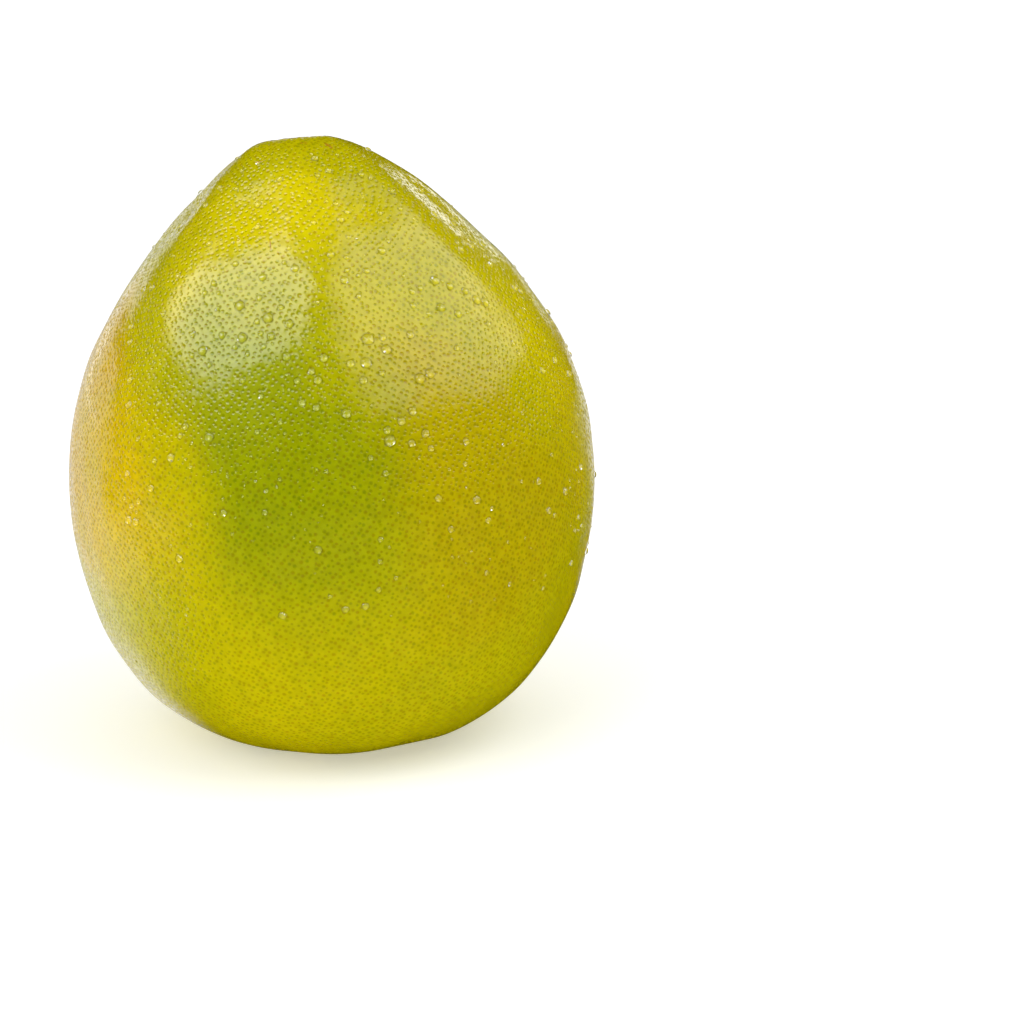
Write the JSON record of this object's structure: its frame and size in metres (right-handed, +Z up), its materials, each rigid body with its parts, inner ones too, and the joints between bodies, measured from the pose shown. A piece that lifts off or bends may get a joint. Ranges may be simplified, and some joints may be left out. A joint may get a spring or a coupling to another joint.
{
  "type": "pomelo",
  "caption": "Whole pear-shaped pomelo standing on its blossom end, with a pored yellow-green rind and the calyx button left by the cut stem.",
  "frame": {"origin": "middle of the flat ring that the fruit stands on, in the plane of that ring", "axes": "+Z up, from the blossom end to the stem; -Y towards the picture's viewer, +X to the viewer's right"},
  "size_m": [0.1501, 0.15, 0.1722],
  "materials": {
    "rind": "satin",
    "calyx": "matte",
    "water": "gloss"
  },
  "bodies": {
    "root": {"fruit": "rind", "calyx_button": "calyx"}
  },
  "joints": []
}
